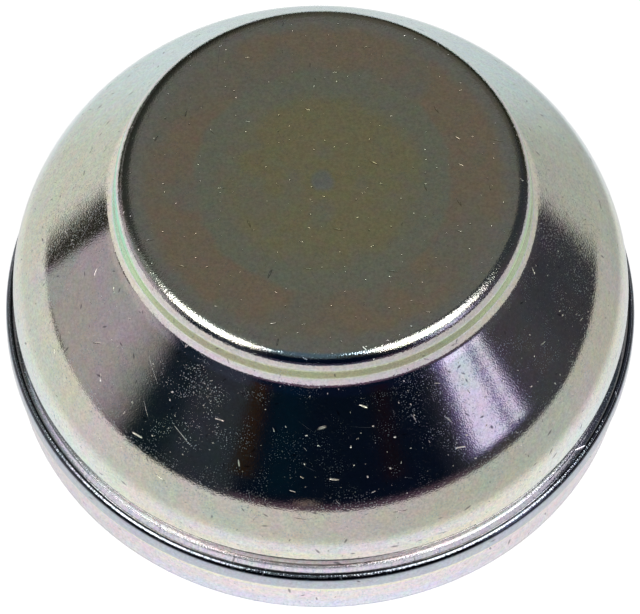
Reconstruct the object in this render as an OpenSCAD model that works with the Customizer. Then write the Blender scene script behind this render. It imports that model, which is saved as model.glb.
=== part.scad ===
// Hub grease cap: one deep-drawn sheet-steel shell, open at the bottom.
// Millimetres. The axis is +Z and the mouth's cut edge stands on Z = 0.
// The sheet keeps one thickness everywhere: the outside and the inside are one
// outline, with the inside's arcs drawn a thickness further in about the same centres.

/* [Sheet] */
// Thickness of the sheet everywhere
sheet_thickness = 1.4;        // [0.8:0.1:1.6]

/* [Sleeve] */
// Outside diameter of the sleeve that presses into the hub
sleeve_diameter = 69.1;       // [60:0.1:80]
// From the mouth's cut edge up to the underside of the bead
sleeve_height = 5.55;         // [4:0.05:12]

/* [Bead] */
// How far the folded bead stands out past the sleeve
bead_overhang = 0.95;         // [0.95:0.05:2]
// Rounding of the bead's upper edge
bead_top_radius = 0.9;        // [0.6:0.05:0.95]
// Rounding of the bead's lower edge
bead_bottom_radius = 0.6;     // [0.3:0.05:0.65]
// Fillet in the corner under the bead
root_fillet = 0.25;           // [0.1:0.05:0.3]

/* [Neck] */
// Fillet from the flat on top of the bead up into the neck
neck_fillet = 0.8;            // [0.3:0.05:1]
// Lean of the sheet where the neck turns out into the shoulder
neck_lean = 51;               // [30:1:70]

/* [Shoulder] */
// How far the shoulder's widest ring stands out past the sleeve
shoulder_overhang = 0.1;      // [0:0.05:0.6]
// Rounding under the shoulder's widest ring
shoulder_low_radius = 2.5;    // [2:0.1:3.5]
// Rounding above the shoulder's widest ring
shoulder_radius = 16;         // [12:0.1:18]
// Lean of the flank away from the axis
flank_angle = 41.5;           // [36:0.1:48]

/* [Crown] */
// Diameter of the upright wall round the crown
crown_diameter = 46.3;        // [36:0.1:47]
// Fillet at the foot of the crown's wall
crown_fillet = 3;             // [1.5:0.1:3.5]
// Straight height of the crown's wall
crown_wall = 1;               // [0.5:0.1:5]
// Rounding from the wall into the crown's edge
crown_turn = 2.6;             // [1.7:0.05:3]
// Rounding from that into the flat disc
crown_corner = 1.75;          // [1.7:0.05:3]

/* [Hidden] */
$fn = 240;
// How far a chord of an arc in the section may lie from the true arc.
chord_gap = 0.008;
t = sheet_thickness;
sleeve_r = sleeve_diameter / 2;
bead_r = sleeve_r + bead_overhang;
bead_top = sleeve_height + 2 * t;
crown_r = crown_diameter / 2;
wide_r = sleeve_r + shoulder_overhang;

// Height of the shoulder's widest ring above the mouth.
wide_z = bead_top + neck_fillet + (shoulder_low_radius + neck_fillet) * sin(neck_lean);

// Centres of the arcs in the section, as [radius, height], from the mouth up.
root_centre = [sleeve_r + root_fillet, sleeve_height - root_fillet];
bead_low_centre = [bead_r - bead_bottom_radius, sleeve_height + bead_bottom_radius];
bead_top_centre = [bead_r - bead_top_radius, bead_top - bead_top_radius];
low_centre = [wide_r - shoulder_low_radius, wide_z];
high_centre = [wide_r - shoulder_radius, wide_z];
neck_centre = low_centre
    + (shoulder_low_radius + neck_fillet) * [cos(neck_lean), -sin(neck_lean)];

// The straight flank runs from the shoulder's arc to the fillet at the crown's foot.
flank_foot = high_centre + shoulder_radius * [cos(flank_angle), sin(flank_angle)];
flank_top_r = crown_r + crown_fillet * (1 - cos(flank_angle));
flank_top_z = flank_foot.y + (flank_foot.x - flank_top_r) / tan(flank_angle);
fillet_centre = [crown_r + crown_fillet, flank_top_z + crown_fillet * sin(flank_angle)];

// The crown's edge is rounded in two arcs that meet where the surface leans this much.
turn_angle = 30;
turn_centre = [crown_r - crown_turn, fillet_centre.y + crown_wall];
corner_centre = turn_centre
    + (crown_turn - crown_corner) * [cos(turn_angle), sin(turn_angle)];
height = corner_centre.y + crown_corner;

// Points on an arc from one angle to another, both ends included.
function arc(centre, radius, from, to) =
    let (step = 2 * acos(1 - chord_gap / radius))
    let (count = ceil(abs(to - from) / step))
    [for (i = [0:count])
        let (angle = from + (to - from) * i / count)
        centre + radius * [cos(angle), sin(angle)]];

// A list without its first point, where the last arc has already ended on it.
function rest(points) = [for (i = [1:len(points) - 1]) points[i]];

// A list from its end to its start.
function turned(points) = [for (i = [len(points) - 1:-1:0]) points[i]];

// The dome from the neck up to the axis, its surface moved in by the inset.
// The neck's arc starts at the angle given, below its narrowest ring.
function dome(inset, neck_start) = concat(
    arc(neck_centre, neck_fillet + inset, neck_start, 180 - neck_lean),
    rest(arc(low_centre, shoulder_low_radius - inset, -neck_lean, 0)),
    rest(arc(high_centre, shoulder_radius - inset, 0, flank_angle)),
    arc(fillet_centre, crown_fillet + inset, 180 + flank_angle, 180),
    arc(turn_centre, crown_turn - inset, 0, turn_angle),
    rest(arc(corner_centre, crown_corner - inset, turn_angle, 90)),
    [[0, height - inset]]
);

// The outside, from the mouth's edge up over the bead and the dome.
outer_points = concat(
    [[sleeve_r, 0]],
    arc(root_centre, root_fillet, 180, 90),
    arc(bead_low_centre, bead_bottom_radius, -90, 0),
    arc(bead_top_centre, bead_top_radius, 0, 90),
    dome(0, 270)
);

// The inside. The sheet turns out from the sleeve into the lower layer of the fold and
// comes back in the upper one, and between the two it leaves a narrow groove.
inner_points = concat(
    [[sleeve_r - t, 0]],
    arc(root_centre, root_fillet + t, 180, 125),
    dome(t, 265)
);

module cap_shell() {
    color([0.78, 0.77, 0.70])
        rotate_extrude()
            polygon(concat(outer_points, turned(inner_points)));
}

cap_shell();
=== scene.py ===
# Hub grease cap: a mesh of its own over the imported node, zinc plating, and a plain studio.
# The profile and the plating are in millimetres; Blender's own lengths are metres.
import math

import bmesh
import bpy
from mathutils import Matrix, Vector


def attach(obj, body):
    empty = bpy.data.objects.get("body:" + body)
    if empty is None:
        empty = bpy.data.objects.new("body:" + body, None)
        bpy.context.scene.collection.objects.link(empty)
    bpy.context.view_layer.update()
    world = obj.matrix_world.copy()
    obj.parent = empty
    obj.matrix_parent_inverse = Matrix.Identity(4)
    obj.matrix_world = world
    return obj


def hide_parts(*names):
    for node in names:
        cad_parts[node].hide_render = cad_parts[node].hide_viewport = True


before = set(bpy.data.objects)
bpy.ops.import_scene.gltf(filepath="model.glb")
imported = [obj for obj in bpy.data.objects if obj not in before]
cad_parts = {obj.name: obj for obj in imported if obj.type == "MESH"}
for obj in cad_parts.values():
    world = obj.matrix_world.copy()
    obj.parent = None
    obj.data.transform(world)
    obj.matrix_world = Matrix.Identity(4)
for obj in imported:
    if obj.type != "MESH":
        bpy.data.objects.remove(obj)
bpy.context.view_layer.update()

MM = 0.001


# Sizes of the profile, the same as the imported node's

SHEET = 1.4
SLEEVE_R = 34.55
SLEEVE_TOP = 5.55
ROOT_FILLET = 0.25
BEAD_R = SLEEVE_R + 0.95
BEAD_TOP = SLEEVE_TOP + 2 * SHEET
BEAD_LOW_RADIUS = 0.6
BEAD_TOP_RADIUS = 0.9
NECK_FILLET = 0.8
NECK_LEAN = 51.0
WIDE_R = SLEEVE_R + 0.1
LOW_RADIUS = 2.5
HIGH_RADIUS = 16.0
FLANK_ANGLE = 41.5
CROWN_R = 23.15
CROWN_FILLET = 3.0
CROWN_WALL = 1.0
CROWN_TURN = 2.6
TURN_ANGLE = 30.0
CROWN_CORNER = 1.75

# Only the mesh has these: the broken edge at the mouth, and the steps round the axis.
MOUTH_EDGE = 0.12
SEGMENTS = 288


def cosd(angle):
    return math.cos(math.radians(angle))


def sind(angle):
    return math.sin(math.radians(angle))


def polar(centre, radius, angle):
    """Point of the profile on a circle, at an angle in degrees from straight out."""
    return (centre[0] + radius * cosd(angle), centre[1] + radius * sind(angle))


# Centres of the profile's arcs, as radius and height
WIDE_Z = BEAD_TOP + NECK_FILLET + (LOW_RADIUS + NECK_FILLET) * sind(NECK_LEAN)
ROOT_C = (SLEEVE_R + ROOT_FILLET, SLEEVE_TOP - ROOT_FILLET)
BEAD_LOW_C = (BEAD_R - BEAD_LOW_RADIUS, SLEEVE_TOP + BEAD_LOW_RADIUS)
BEAD_TOP_C = (BEAD_R - BEAD_TOP_RADIUS, BEAD_TOP - BEAD_TOP_RADIUS)
LOW_C = (WIDE_R - LOW_RADIUS, WIDE_Z)
HIGH_C = (WIDE_R - HIGH_RADIUS, WIDE_Z)
NECK_C = polar(LOW_C, LOW_RADIUS + NECK_FILLET, -NECK_LEAN)
FLANK_FOOT = polar(HIGH_C, HIGH_RADIUS, FLANK_ANGLE)
FLANK_TOP_R = CROWN_R + CROWN_FILLET * (1 - cosd(FLANK_ANGLE))
FLANK_TOP_Z = FLANK_FOOT[1] + (FLANK_FOOT[0] - FLANK_TOP_R) / math.tan(math.radians(FLANK_ANGLE))
FILLET_C = (CROWN_R + CROWN_FILLET, FLANK_TOP_Z + CROWN_FILLET * sind(FLANK_ANGLE))
TURN_C = (CROWN_R - CROWN_TURN, FILLET_C[1] + CROWN_WALL)
CORNER_C = polar(TURN_C, CROWN_TURN - CROWN_CORNER, TURN_ANGLE)
HEIGHT = CORNER_C[1] + CROWN_CORNER


# Mesh of the cap

def arc(centre, radius, start, end, steps):
    """Points on an arc of the profile, both ends included."""
    return [polar(centre, radius, start + (end - start) * i / steps) for i in range(steps + 1)]


def run(start, end, steps):
    """Points along a straight stretch of the profile, without its ends."""
    return [(start[0] + (end[0] - start[0]) * i / steps,
             start[1] + (end[1] - start[1]) * i / steps) for i in range(1, steps)]


def dome(inset, fine):
    """From the neck's narrowest ring up to the disc's edge."""
    neck = arc(NECK_C, NECK_FILLET + inset, 180, 180 - NECK_LEAN, 6 * fine)
    low = arc(LOW_C, LOW_RADIUS - inset, -NECK_LEAN, 0, 7 * fine)
    high = arc(HIGH_C, HIGH_RADIUS - inset, 0, FLANK_ANGLE, 14 * fine)
    fillet = arc(FILLET_C, CROWN_FILLET + inset, 180 + FLANK_ANGLE, 180, 6 * fine)
    turn = arc(TURN_C, CROWN_TURN - inset, 0, TURN_ANGLE, 4 * fine)
    corner = arc(CORNER_C, CROWN_CORNER - inset, TURN_ANGLE, 90, 6 * fine)
    points = neck + low[1:] + high[1:]
    points += run(high[-1], fillet[0], 8 * fine) + fillet
    points += run(fillet[-1], turn[0], 2 * fine) + turn + corner[1:]
    return points


def disc(height, steps):
    """From the disc's edge in to the axis, which the last point stands on."""
    return [(CORNER_C[0] * (1 - i / steps), height) for i in range(1, steps + 1)]


def outside_profile():
    """From the mouth up over the bead and the dome to the axis."""
    points = [(SLEEVE_R - MOUTH_EDGE, 0.0), (SLEEVE_R, MOUTH_EDGE)]
    points += run(points[-1], (SLEEVE_R, ROOT_C[1]), 6)
    points += arc(ROOT_C, ROOT_FILLET, 180, 90, 4)
    points += arc(BEAD_LOW_C, BEAD_LOW_RADIUS, -90, 0, 8)
    points += arc(BEAD_TOP_C, BEAD_TOP_RADIUS, 0, 90, 12)
    points += arc(NECK_C, NECK_FILLET, 270, 185, 8)
    points += dome(0.0, 2)
    return points + disc(HEIGHT, 24)


def inside_profile():
    """From the mouth up past the groove in the fold and under the dome to the axis."""
    radius = SLEEVE_R - SHEET
    points = [(radius + MOUTH_EDGE, 0.0), (radius, MOUTH_EDGE)]
    points += run(points[-1], (radius, ROOT_C[1]), 4)
    points += arc(ROOT_C, ROOT_FILLET + SHEET, 180, 125, 6)
    points += arc(NECK_C, NECK_FILLET + SHEET, 265, 185, 8)
    points += dome(SHEET, 1)
    return points + disc(HEIGHT - SHEET, 14)


def revolve(name, outside, inside):
    """A closed shell turned from the two profiles, which meet at the mouth."""
    mesh = bpy.data.meshes.new(name)
    bm = bmesh.new()
    turns = [math.tau * k / SEGMENTS for k in range(SEGMENTS)]

    def ring(r, z):
        """The points of one ring, or the single point of a ring on the axis."""
        if r == 0:
            return [bm.verts.new((0, 0, z * MM))]
        return [bm.verts.new((r * MM * math.cos(a), r * MM * math.sin(a), z * MM)) for a in turns]

    def join(low, high, flip):
        """Faces between two rings."""
        for k in range(SEGMENTS):
            after = (k + 1) % SEGMENTS
            if len(high) == 1:
                loop = [low[k], low[after], high[0]]
            else:
                loop = [low[k], low[after], high[after], high[k]]
            bm.faces.new(loop[::-1] if flip else loop)

    outer = [ring(r, z) for r, z in outside]
    inner = [ring(r, z) for r, z in inside]
    for low, high in zip(outer, outer[1:]):
        join(low, high, False)
    for low, high in zip(inner, inner[1:]):
        join(low, high, True)
    join(inner[0], outer[0], False)
    bm.normal_update()
    for face in bm.faces:
        face.smooth = True
    bm.to_mesh(mesh)
    bm.free()
    obj = bpy.data.objects.new(name, mesh)
    bpy.context.scene.collection.objects.link(obj)
    return obj


cap = revolve("plated_cap", outside_profile(), inside_profile())
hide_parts("cap_shell")
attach(cap, "root")


# Node trees

class Nodes:
    """Short calls for the node tree of a material or of the world."""

    def __init__(self, owner):
        owner.use_nodes = True
        self.tree = owner.node_tree
        self.tree.nodes.clear()

    def add(self, kind, **values):
        node = self.tree.nodes.new(kind)
        for key, value in values.items():
            setattr(node, key, value)
        return node

    def put(self, socket, value):
        """Link a socket, or set it where the value is a plain one."""
        if isinstance(value, bpy.types.NodeSocket):
            self.tree.links.new(value, socket)
        else:
            socket.default_value = value

    def fill(self, node, *values):
        """Link or set a node's first inputs, in order."""
        for socket, value in zip(node.inputs, values):
            self.put(socket, value)

    def maths(self, kind, a, b=0.0, c=0.0):
        node = self.add("ShaderNodeMath", operation=kind)
        self.fill(node, a, b, c)
        return node.outputs[0]

    def plus(self, a, b):
        return self.maths("ADD", a, b)

    def minus(self, a, b):
        return self.maths("SUBTRACT", a, b)

    def times(self, a, b):
        return self.maths("MULTIPLY", a, b)

    def over(self, a, b):
        return self.maths("DIVIDE", a, b)

    def times_plus(self, a, b, c):
        return self.maths("MULTIPLY_ADD", a, b, c)

    def most(self, first, *others):
        """The greatest of the values."""
        for other in others:
            first = self.maths("MAXIMUM", first, other)
        return first

    def length(self, x, y):
        return self.maths("SQRT", self.plus(self.times(x, x), self.times(y, y)))

    def ramp(self, value, low, high, out_low=0.0, out_high=1.0):
        """A smooth step from one output to the other between the two limits."""
        node = self.add("ShaderNodeMapRange", interpolation_type="SMOOTHSTEP")
        self.fill(node, value, low, high, out_low, out_high)
        return node.outputs[0]

    def fall(self, value, low, high):
        """1 up to the lower limit, and 0 from the higher one on."""
        return self.ramp(value, low, high, 1.0, 0.0)

    def band(self, value, low, high, soft):
        """1 between the two limits, falling to 0 over the softness outside them."""
        rise = self.ramp(value, self.minus(low, soft), low)
        return self.times(rise, self.fall(value, high, self.plus(high, soft)))

    def mix(self, factor, a, b):
        """Of the node's many sockets, inputs 6 and 7 and output 2 are the colours."""
        node = self.add("ShaderNodeMix", data_type="RGBA")
        self.put(node.inputs[0], factor)
        self.put(node.inputs[6], a)
        self.put(node.inputs[7], b)
        return node.outputs[2]

    def noise(self, vector, scale, detail=2.0, rough=0.5, output="Fac"):
        node = self.add("ShaderNodeTexNoise")
        self.put(node.inputs["Vector"], vector)
        self.put(node.inputs["Scale"], scale)
        self.put(node.inputs["Detail"], detail)
        self.put(node.inputs["Roughness"], rough)
        return node.outputs[output]

    def join(self, x, y, z):
        node = self.add("ShaderNodeCombineXYZ")
        self.fill(node, x, y, z)
        return node.outputs[0]

    def parts(self, vector):
        node = self.add("ShaderNodeSeparateXYZ")
        self.put(node.inputs[0], vector)
        return node.outputs

    def vector(self, kind, a, b=(0.0, 0.0, 0.0), c=(0.0, 0.0, 0.0)):
        node = self.add("ShaderNodeVectorMath", operation=kind)
        self.fill(node, a, b, c)
        return node.outputs["Value" if kind == "LENGTH" else "Vector"]

    def scaled(self, vector, factor):
        node = self.add("ShaderNodeVectorMath", operation="SCALE")
        self.put(node.inputs[0], vector)
        self.put(node.inputs["Scale"], factor)
        return node.outputs[0]

    def turned(self, vector, angle):
        node = self.add("ShaderNodeVectorRotate", rotation_type="Z_AXIS")
        self.put(node.inputs["Vector"], vector)
        self.put(node.inputs["Angle"], angle)
        return node.outputs[0]

    def in_oval(self, vector, length, width):
        """0 in the middle of an oval of this length and width, and 1 on its edge."""
        return self.vector("LENGTH", self.vector("MULTIPLY", vector, (2 / length, 2 / width, 0.0)))

    def show(self, kind, shader):
        """Link a shader to an output node of this kind."""
        self.put(self.add(kind).inputs["Surface"], shader.outputs[0])


def tint(r, g, b):
    return (r, g, b, 1.0)


# Zinc plating, with painted shade and painted reflection in some of its tints

class Spot:
    """Where a point of the cap lies, and which zones it is in."""

    # Radius that the sides are spread out at, and the share of their slope that is kept
    SPREAD_RADIUS = 28.0
    SPREAD_SLOPE = 0.75

    def __init__(self, n):
        self.n = n
        self.place = n.scaled(n.add("ShaderNodeTexCoord").outputs["Object"], 1 / MM)
        x, y, self.z = n.parts(self.place)
        self.radius = n.length(x, y)
        # Directions from the axis, from -1 to 1, with no division by zero on it
        reach = n.most(self.radius, 1.0)
        self.back = n.over(y, reach)
        self.right = n.over(x, reach)
        self.beside = n.maths("ABSOLUTE", self.right)
        self.on_disc = n.ramp(self.z, HEIGHT - 0.45, HEIGHT - 0.1)
        # The surface spread out flat, for marks that lie in it
        around = n.times(n.maths("ARCTAN2", x, n.times(y, -1.0)), self.SPREAD_RADIUS)
        along = n.times(n.minus(self.z, self.radius), self.SPREAD_SLOPE)
        self.wrapped = n.join(around, along, 0.0)
        level = n.join(x, y, 0.0)
        self.flat = n.mix(n.maths("GREATER_THAN", self.on_disc, 0.5), self.wrapped, level)
        # Rings at the bead, by height over its top and reach past the sleeve
        over = n.minus(self.z, BEAD_TOP)
        past = n.minus(self.radius, SLEEVE_R)
        inward = n.fall(past, -0.55, -0.45)
        self.bead_top = n.times(n.band(over, -0.50, -0.025, 0.06), n.ramp(past, -0.05, 0.05))
        self.fold = n.times(n.band(over, -0.20, -0.09, 0.03), n.ramp(past, 0.15, 0.25))
        self.neck_low = n.times(n.band(over, 0.02, 0.21, 0.01), n.fall(past, -0.45, -0.40))
        self.neck_high = n.times(n.band(over, 0.25, 0.85, 0.04), inward)
        self.under = n.times(n.band(over, 0.85, 1.95, 0.05), inward)
        self.flange = n.times(n.band(over, -0.02, 0.10, 0.01), n.band(past, -0.60, 0.15, 0.1))

    def side_or_disc(self, side, disc):
        """One value on the sides and another on the disc."""
        return self.n.ramp(self.on_disc, 0.0, 1.0, side, disc)


def dome_tints_and_painted_reflection(n, at):
    """Tints of the passivated zinc: cream in front, green and then cyan toward the back. The green and
    cyan toward the back are partly the plating's tint and partly painted reflection; the lighter
    sides, the lighter upper back and the lavender ring low in front are painted reflection.
    """
    pinker = n.ramp(n.noise(at.place, 0.09), 0.42, 0.60)
    colour = n.mix(pinker, tint(0.76, 0.73, 0.60), tint(0.77, 0.69, 0.66))
    greener = n.ramp(n.noise(at.place, 0.14, 1.0), 0.5, 0.66)
    colour = n.mix(greener, colour, tint(0.70, 0.73, 0.62))
    # Partly painted reflection: olive and then cyan toward the back.
    colour = n.mix(n.ramp(at.back, -0.3, 0.5), colour, tint(0.68, 0.71, 0.57))
    colour = n.mix(n.ramp(at.back, 0.30, 0.80), colour, tint(0.69, 0.84, 0.83))
    # Painted reflection: the sides are lighter low on the dome.
    side_painted_reflection = n.times(n.fall(at.z, 12.0, 16.5), n.ramp(at.beside, 0.55, 0.9))
    colour = n.mix(side_painted_reflection, colour, tint(0.74, 0.82, 0.81))
    # Painted reflection: the upper back is lighter and paler cyan.
    back_painted_reflection = n.times(n.fall(at.z, 17.5, 22.0), n.ramp(at.back, 0.1, 0.6))
    colour = n.mix(back_painted_reflection, colour, tint(0.80, 0.94, 0.97))
    # Painted reflection: a lavender ring low on the dome, in front only.
    front_ring_painted_reflection = n.times(n.band(at.z, 13.0, 14.0, 0.7), n.ramp(at.back, -0.95, -0.75, 0.5, 0.0))
    return n.mix(front_ring_painted_reflection, colour, tint(0.73, 0.70, 0.80))


def wall_tints_and_painted_reflection(n, at, colour):
    """The crown's short wall: green between two pale lines, with pink below and above. The green and
    pink are partly the plating's tint and partly painted reflection, and the pale lines are painted
    highlights.
    """
    wider = n.ramp(at.beside, 0.8, 1.0)
    low = n.minus(31.7, n.times(wider, 0.6))
    high = n.plus(33.1, n.times(wider, 0.8))
    line = 0.3
    # Green band, partly the plating's tint and partly painted reflection; its hue changes round the
    # cap.
    green = n.mix(n.ramp(at.right, -0.55, 0.65), tint(0.64, 0.98, 0.56), tint(0.76, 0.98, 0.62))
    green = n.mix(n.fall(at.right, -1.0, -0.85), green, tint(0.48, 0.95, 0.68))
    green = n.mix(n.fall(at.back, -0.9, -0.35), green, tint(0.62, 0.64, 0.44))
    pink = n.mix(n.ramp(at.back, -0.85, -0.45), tint(0.97, 0.86, 0.92), tint(0.90, 0.84, 0.71))
    pink = n.mix(n.ramp(at.right, 0.5, 0.8), pink, tint(0.94, 0.89, 0.74))
    colour = n.mix(n.band(at.z, 29.8, 31.6, 0.5), colour, pink)
    colour = n.mix(n.band(at.z, 33.1, 34.3, 0.4), colour, tint(0.86, 0.79, 0.76))
    # Painted highlights: two pale lines along the edges of the green band.
    painted_highlight_lines = n.band(at.z, n.minus(low, line), n.plus(high, line), line)
    colour = n.mix(painted_highlight_lines, colour, tint(0.88, 0.86, 0.82))
    return n.mix(n.band(at.z, low, high, 0.25), colour, green)


def sleeve_tints_shade_and_reflection(n, at, colour):
    """Bead, sleeve and mouth, each tint laid from its height downward. The darker blue-grey on the
    bead's side is painted shade, and the lavender at the mouth, strongest in front, is painted
    reflection.
    """
    # Painted shade: a darker blue-grey on the bead's side.
    colour = n.mix(n.fall(at.z, BEAD_TOP - 0.05, BEAD_TOP + 0.05), colour, tint(0.48, 0.51, 0.57))
    colour = n.mix(n.fall(at.z, 6.05, 6.3), colour, tint(0.82, 0.79, 0.65))
    colour = n.mix(n.fall(at.z, 3.7, 4.0), colour, tint(0.77, 0.70, 0.72))
    # Painted reflection: lavender at the mouth, strongest in front.
    mouth_painted_reflection = n.times(n.fall(at.z, 1.3, 2.3), n.ramp(at.back, -0.95, -0.75, 1.0, 0.25))
    return n.mix(mouth_painted_reflection, colour, tint(0.70, 0.70, 0.80))


def neck_painted_shade_and_reflection(n, at, colour):
    """The dark and pale rings on top of the bead and in the neck. The dark rings are painted shade;
    the near-white rings are partly the plating's tint and partly painted reflection.
    """
    # Painted shade: a near-black ring round the rounded top of the bead.
    colour = n.mix(n.minus(at.bead_top, at.fold), colour, tint(0.10, 0.105, 0.12))
    # Painted shade: a dark grey ring low in the neck, pinker in front.
    low = n.mix(n.ramp(at.back, -0.98, -0.8), tint(0.58, 0.49, 0.49), tint(0.24, 0.25, 0.24))
    colour = n.mix(at.neck_low, colour, low)
    # Partly painted reflection: near-white rings high in the neck, under the shoulder and on the
    # flange.
    colour = n.mix(at.neck_high, colour, tint(1.0, 0.92, 0.92))
    colour = n.mix(at.under, colour, tint(0.97, 0.93, 1.0))
    return n.mix(at.flange, colour, tint(0.95, 0.92, 1.0))


def disc_tints(n, at, colour):
    """An olive middle, a grey-green ring, a brown border and a grey edge, with wavy limits, and
    painted shade, dark blue-grey, on the crown's rounded edge in front.
    """
    wave = n.times(n.minus(n.noise(at.place, 0.3), 0.5), 1.6)
    ring = n.plus(at.radius, wave)
    patchy = n.ramp(n.noise(at.place, 0.18), 0.46, 0.62)
    disc_tint = n.mix(patchy, tint(0.80, 0.74, 0.44), tint(0.75, 0.73, 0.52))
    disc_tint = n.mix(n.ramp(ring, 9.5, 12.3), disc_tint, tint(0.70, 0.72, 0.56))
    patchy = n.ramp(n.noise(at.place, 0.13, 1.0), 0.42, 0.60)
    border = n.mix(patchy, tint(0.81, 0.67, 0.49), tint(0.72, 0.68, 0.55))
    disc_tint = n.mix(n.ramp(ring, 13.8, 14.7), disc_tint, border)
    disc_tint = n.mix(n.ramp(ring, 19.0, 21.0), disc_tint, tint(0.70, 0.70, 0.62))
    disc_tint = n.mix(n.ramp(ring, 0.9, 1.7, 0.8, 0.0), disc_tint, tint(0.64, 0.70, 0.66))
    colour = n.mix(at.on_disc, colour, disc_tint)
    # Painted shade: the crown's rounded edge is darker and bluer in front only.
    corner = n.band(at.z, HEIGHT - 1.0, HEIGHT - 0.2, 0.15)
    front_corner_painted_shade = n.times(corner, n.fall(at.back, -0.99, -0.94))
    return n.mix(front_corner_painted_shade, colour, tint(0.42, 0.53, 0.62))


def blotches(n, at, colour):
    """Blotches of slightly different hue, and finer ones that are only lighter or darker."""
    blotch = n.noise(at.place, 0.7, 2.0, 0.7, "Color")
    blotch = n.vector("MULTIPLY_ADD", blotch, (0.32, 0.32, 0.32), (0.84, 0.84, 0.84))
    fleck = n.times_plus(n.noise(at.place, 3.0, 2.0, 0.7), 0.66, 0.67)
    return n.scaled(n.vector("MULTIPLY", colour, blotch), fleck)


def strokes(n, flat, cell, length, width, share, start):
    """Mask of straight marks: in this share of the cells there is one, turned its own way.

    Sizes are in mm. The start moves the cells, so that no two kinds of mark share them.
    """
    moved = n.vector("ADD", n.scaled(flat, 1.0 / cell), (start, start * 0.37, 0.0))
    cells = n.add("ShaderNodeTexVoronoi", voronoi_dimensions="2D")
    n.put(cells.inputs["Vector"], moved)
    n.put(cells.inputs["Scale"], 1.0)
    chance, direction, bulk = n.parts(cells.outputs["Color"])
    offset = n.vector("SUBTRACT", moved, cells.outputs["Position"])
    turned = n.turned(offset, n.times(direction, math.tau))
    away = n.in_oval(turned, length / cell, width / cell)
    # Most are near the smallest size, and a few are much larger.
    smallest = 0.35
    size = n.plus(n.times(bulk, bulk), smallest)
    chosen = n.maths("LESS_THAN", chance, share)
    return n.times(chosen, n.fall(n.over(away, size), 0.25, 1.0))


def mark(n, flat, across, along, angle, length, width):
    """Mask of one mark with a place and direction of its own, in mm and degrees."""
    offset = n.vector("SUBTRACT", flat, (across, along, 0.0))
    turned = n.turned(offset, -math.radians(angle))
    return n.fall(n.in_oval(turned, length, width), 0.2, 1.0)


# Single dark pits on the sides, in mm and degrees: place across and along, angle,
# length and width
PITS = (
    (18.6, 2.9, 16, 0.85, 0.42),
    (18.6, -4.1, -9, 0.75, 0.36),
    (19.1, -5.9, -74, 0.75, 0.42),
    (3.4, -16.6, 0, 0.6, 0.22),
    (-1.0, -23.8, 30, 0.6, 0.25),
    (3.9, -21.0, -40, 0.6, 0.25),
)


class Wear:
    """Masks of the marks in the plating."""

    def __init__(self, n, at):
        specks = strokes(n, at.flat, cell=1.25, length=0.26, width=0.15, share=0.26, start=3.1)
        nicks = strokes(n, at.flat, cell=3.4, length=1.2, width=0.17, share=0.40, start=7.7)
        hairs = strokes(n, at.flat, cell=5.0, length=4.5, width=0.05, share=0.50, start=12.3)
        long_hairs = strokes(n, at.flat, cell=14.0, length=12.0, width=0.07, share=0.50, start=21.9)
        stains = strokes(n, at.flat, cell=2.4, length=0.85, width=0.27, share=0.42, start=44.2)
        dust = strokes(n, at.flat, cell=0.27, length=0.30, width=0.12, share=0.70, start=30.3)
        self.fine = n.most(hairs, long_hairs)
        self.dust = n.times(dust, n.ramp(n.noise(at.place, 0.3), 0.40, 0.62, 0.45, 1.0))
        # Specks and nicks, and one bright chip in the middle of the front
        self.deep = n.times(n.most(specks, nicks), at.side_or_disc(1.0, 0.75))
        chip = mark(n, at.wrapped, across=0.5, along=0.2, angle=18, length=1.8, width=0.42)
        self.deep = n.most(self.deep, n.minus(chip, at.on_disc))
        self.pits = n.times(stains, at.side_or_disc(0.8, 0.15))
        for across, along, angle, length, width in PITS:
            pit = mark(n, at.wrapped, across, along, angle, length, width)
            self.pits = n.most(self.pits, pit)
        # Rubbing along the crown's edge, less in front
        edge = n.times(n.ramp(at.z, HEIGHT - 1.1, HEIGHT - 0.7), n.ramp(at.radius, 20.4, 21.2))
        self.edge = n.times(edge, n.ramp(at.back, -0.99, -0.94, 0.45, 1.0))


def relief(n, at, wear):
    """Bump of the marks and of a fine grit, which is stronger in the fold, neck and edge."""
    depth = 0.014
    height = n.plus(n.times(wear.deep, -2.6), n.times(wear.fine, -0.16))
    rough = n.times_plus(at.fold, 1.8, n.times_plus(at.neck_low, 0.9, 0.36))
    rough = n.times_plus(wear.edge, 0.9, rough)
    height = n.plus(height, n.times(n.noise(at.place, 6.6, 0.0, 0.5), rough))
    height = n.plus(height, n.times(wear.dust, at.side_or_disc(-0.22, -0.10)))
    bump = n.add("ShaderNodeBump")
    n.put(bump.inputs["Strength"], 1.0)
    n.put(bump.inputs["Distance"], depth * MM)
    n.put(bump.inputs["Height"], height)
    return bump.outputs[0]


def roughness(n, at, wear):
    """A mirror finish, duller where it is marked and in the neck."""
    mirror = 0.07
    dull = 0.50
    worn = n.most(n.times(wear.deep, 0.8), n.times(wear.fine, 0.50), n.times(wear.dust, 0.60),
                  n.times(at.neck_low, 0.45), at.neck_high, n.times(wear.edge, 0.25))
    return n.times_plus(at.neck_high, 0.35, n.ramp(worn, 0.0, 1.0, mirror, dull))


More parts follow.
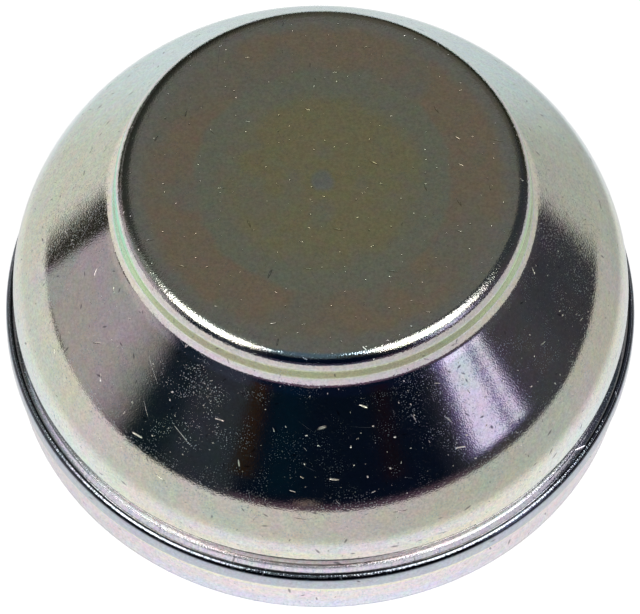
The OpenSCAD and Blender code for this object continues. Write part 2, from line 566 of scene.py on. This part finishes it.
def plating():
    material = bpy.data.materials.new("zinc_plate")
    n = Nodes(material)
    at = Spot(n)
    colour = dome_tints_and_painted_reflection(n, at)
    colour = wall_tints_and_painted_reflection(n, at, colour)
    colour = sleeve_tints_shade_and_reflection(n, at, colour)
    colour = neck_painted_shade_and_reflection(n, at, colour)
    colour = disc_tints(n, at, colour)
    colour = blotches(n, at, colour)
    wear = Wear(n, at)
    haze = n.times(n.most(wear.dust, wear.fine), at.side_or_disc(0.55, 0.3))
    colour = n.mix(haze, colour, tint(0.30, 0.50, 0.62))
    colour = n.mix(n.times(wear.pits, 0.9), colour, tint(0.09, 0.08, 0.10))
    shader = n.add("ShaderNodeBsdfPrincipled")
    n.put(shader.inputs["Metallic"], 1.0)
    n.put(shader.inputs["Base Color"], colour)
    n.put(shader.inputs["Roughness"], roughness(n, at, wear))
    n.put(shader.inputs["Normal"], relief(n, at, wear))
    n.show("ShaderNodeOutputMaterial", shader)
    return material


cap.data.materials.append(plating())


# Table

TABLE_RADIUS = 0.211
# The table lies just under the mouth, so that the two don't share a plane.
TABLE_DROP = 0.0001


def table_top():
    """White to the eye; the plating sees it bright close to the cap, and dim beyond."""
    material = bpy.data.materials.new("white_table")
    n = Nodes(material)
    x, y, _ = n.parts(n.add("ShaderNodeNewGeometry").outputs["Position"])
    radius = n.length(x, y)
    right = n.over(x, radius)
    back = n.over(y, radius)
    # The far part is lighter on the left and toward the back, and at the back right.
    left_and_back = n.times(n.fall(right, -0.4, 0.65), n.ramp(back, -1.0, 0.0, 0.45, 1.0))
    back_right = n.times(n.ramp(back, 0.68, 0.90), n.ramp(right, -0.1, 0.3))
    far = n.times_plus(left_and_back, 0.23, 0.06)
    far = n.times_plus(back_right, 0.13, far)
    mirrored = n.ramp(radius, 0.0455, 0.056, 0.45, far)
    direct = 0.72
    path = n.add("ShaderNodeLightPath")
    by_mirror = n.most(path.outputs["Is Glossy Ray"], path.outputs["Is Transmission Ray"])
    strength = n.plus(n.times(by_mirror, mirrored), n.times(path.outputs["Is Camera Ray"], direct))
    plain = n.add("ShaderNodeBsdfDiffuse")
    n.put(plain.inputs["Color"], tint(0.8, 0.8, 0.8))
    glow = n.add("ShaderNodeEmission")
    n.put(glow.inputs["Strength"], strength)
    both = n.add("ShaderNodeAddShader")
    n.fill(both, plain.outputs[0], glow.outputs[0])
    n.show("ShaderNodeOutputMaterial", both)
    return material


def table():
    bpy.ops.mesh.primitive_circle_add(vertices=96, radius=TABLE_RADIUS, fill_type="NGON",
                                      location=(0, 0, -TABLE_DROP))
    obj = bpy.context.object
    obj.name = "table"
    obj.data.materials.append(table_top())


table()


# Lamps and room; azimuth 0 is the camera's side, and azimuths grow to the right

LAMP_DISTANCE = 1.3


def heading(azimuth, elevation):
    """Unit vector from the cap in a direction given in degrees."""
    return Vector((sind(azimuth) * cosd(elevation), -cosd(azimuth) * cosd(elevation), sind(elevation)))


def softbox(name, azimuth, elevation, width, height, radiance):
    """A rectangular lamp that faces the cap, and that the camera doesn't see itself."""
    light = bpy.data.lights.new(name, "AREA")
    light.shape = "RECTANGLE"
    light.size = width
    light.size_y = height
    light.energy = radiance * math.pi * width * height
    obj = bpy.data.objects.new(name, light)
    out = heading(azimuth, elevation)
    obj.location = out * LAMP_DISTANCE
    obj.rotation_euler = (-out).to_track_quat("-Z", "Y").to_euler()
    obj.visible_camera = False
    bpy.context.scene.collection.objects.link(obj)


softbox("box_left", azimuth=-55, elevation=46, width=0.76, height=0.78, radiance=3.1)
softbox("box_right", azimuth=58, elevation=53, width=0.80, height=0.80, radiance=3.1)

# Patches of the room, each painted over those before it. In degrees: azimuth and elevation
# of the centre, half the width, half the height, and the softness of the sides and of the
# ends. Then the colour.
PATCHES = (
    # Ceiling, and the upper walls at the left, back left, right and front
    (0, 80, 400, 28, 1, 10, (0.155, 0.155, 0.15)),
    (-85, 40, 20, 38, 12, 12, (0.20, 0.225, 0.215)),
    (-136, 38, 30, 22, 10, 8, (0.035, 0.038, 0.036)),
    (105, 45, 36, 30, 12, 12, (0.03, 0.035, 0.045)),
    (-2, 62, 26, 17, 10, 10, (0.15, 0.19, 0.20)),
    (20, 47, 9, 14, 4, 6, (0.06, 0.045, 0.03)),
    # Lower walls: front, right, and the two corners behind
    (0, 12, 75, 27, 25, 10, (0.05, 0.055, 0.065)),
    (98, 3, 36, 22, 12, 10, (0.044, 0.044, 0.060)),
    (82, 10, 11, 18, 8, 6, (0.060, 0.058, 0.076)),
    (150, -5, 25, 25, 12, 10, (0.02, 0.02, 0.012)),
    (-150, 0, 25, 30, 12, 10, (0.02, 0.02, 0.016)),
    # Bright low wall on the left, with a dark opening and a dark dash in it
    (-102, 3.5, 34, 12, 16, 1, (0.42, 0.40, 0.44)),
    (-126, -2, 14.5, 13, 1, 2, (0.030, 0.030, 0.026)),
    (-96, -7, 7, 2.4, 3, 0.5, (0.03, 0.02, 0.03)),
    # Dark front with a violet foot, blue-grey to its left, and faint brown and blue spots
    (2, 12, 46, 26, 10, 6, (0.002, 0.005, 0.014)),
    (0, -5, 60, 4, 20, 3, (0.09, 0.06, 0.09)),
    (-37, 12, 11, 26, 4, 5, (0.024, 0.031, 0.043)),
    (-55, 12, 8, 26, 4, 5, (0.006, 0.013, 0.021)),
    (-24, 21, 3, 5, 3, 3, (0.022, 0.011, 0.006)),
    (-11, 16, 6, 10, 6, 4, (0.001, 0.008, 0.019)),
    (25, 20, 3, 5, 3, 3, (0.007, 0.004, 0.008)),
    # Window on the right: a violet glow, two panes and the bar between them
    (60, 16, 10, 12, 4, 3, (0.20, 0.17, 0.40)),
    (57.6, 17, 5.6, 11, 0.9, 2, (0.80, 0.80, 1.08)),
    (67.3, 17, 2.1, 11, 1.0, 2, (0.80, 0.80, 1.05)),
    (64.3, 16, 1.0, 13, 0.5, 2, (0.08, 0.07, 0.22)),
    # A small pale thing low in front
    (-3, 1, 3, 2.5, 1, 1, (0.16, 0.13, 0.13)),
)


def room():
    """The dim room round the table, painted by direction; the eye sees it as plain white."""
    world = bpy.data.worlds.new("room")
    bpy.context.scene.world = world
    n = Nodes(world)
    x, y, z = n.parts(n.add("ShaderNodeTexCoord").outputs["Generated"])
    azimuth = n.maths("DEGREES", n.maths("ARCTAN2", x, n.times(y, -1.0)))
    elevation = n.maths("DEGREES", n.maths("ARCSINE", z))
    colour = tint(0.10, 0.095, 0.08)
    for middle, level, width, height, soft_sides, soft_ends, paint in PATCHES:
        aside = n.maths("ABSOLUTE", n.minus(azimuth, middle))
        apart = n.maths("ABSOLUTE", n.minus(elevation, level))
        mask = n.times(n.fall(aside, width - soft_sides, width + soft_sides),
                       n.fall(apart, height - soft_ends, height + soft_ends))
        colour = n.mix(mask, colour, tint(*paint))
    path = n.add("ShaderNodeLightPath")
    colour = n.mix(path.outputs["Is Camera Ray"], colour, tint(1.0, 1.0, 1.0))
    background = n.add("ShaderNodeBackground")
    n.put(background.inputs["Color"], colour)
    n.show("ShaderNodeOutputWorld", background)


room()


# Camera, set from the fit of the profile to the photograph

ELEVATION = 59.77
ROLL = 1.27
DISTANCE = 1.0
PIXELS_PER_METRE = 8910.0
AIM = Vector((0, 0, 0.015))
AIM_PIXEL = (321.09, 273.21)
WIDTH_PX = 640
HEIGHT_PX = 614
SENSOR = 36.0


def photo_camera():
    """The photograph's view: the point aimed at falls on its own pixel."""
    side = Vector((1, 0, 0))
    rise = Vector((0, sind(ELEVATION), cosd(ELEVATION)))
    back = Vector((0, -cosd(ELEVATION), sind(ELEVATION)))
    right = side * cosd(ROLL) + rise * sind(ROLL)
    up = rise * cosd(ROLL) - side * sind(ROLL)
    centre = AIM - right * ((AIM_PIXEL[0] - WIDTH_PX / 2) / PIXELS_PER_METRE)
    centre = centre - up * ((HEIGHT_PX / 2 - AIM_PIXEL[1]) / PIXELS_PER_METRE)
    data = bpy.data.cameras.new("camera")
    data.sensor_fit = "HORIZONTAL"
    data.sensor_width = SENSOR
    data.lens = PIXELS_PER_METRE * DISTANCE / WIDTH_PX * SENSOR
    data.clip_start = 0.1
    data.clip_end = 100.0
    obj = bpy.data.objects.new("camera", data)
    obj.matrix_world = Matrix((
        (right.x, up.x, back.x, centre.x + DISTANCE * back.x),
        (right.y, up.y, back.y, centre.y + DISTANCE * back.y),
        (right.z, up.z, back.z, centre.z + DISTANCE * back.z),
        (0, 0, 0, 1)))
    bpy.context.scene.collection.objects.link(obj)
    return obj


bpy.context.scene.camera = photo_camera()
bpy.context.scene.view_settings.view_transform = "Standard"
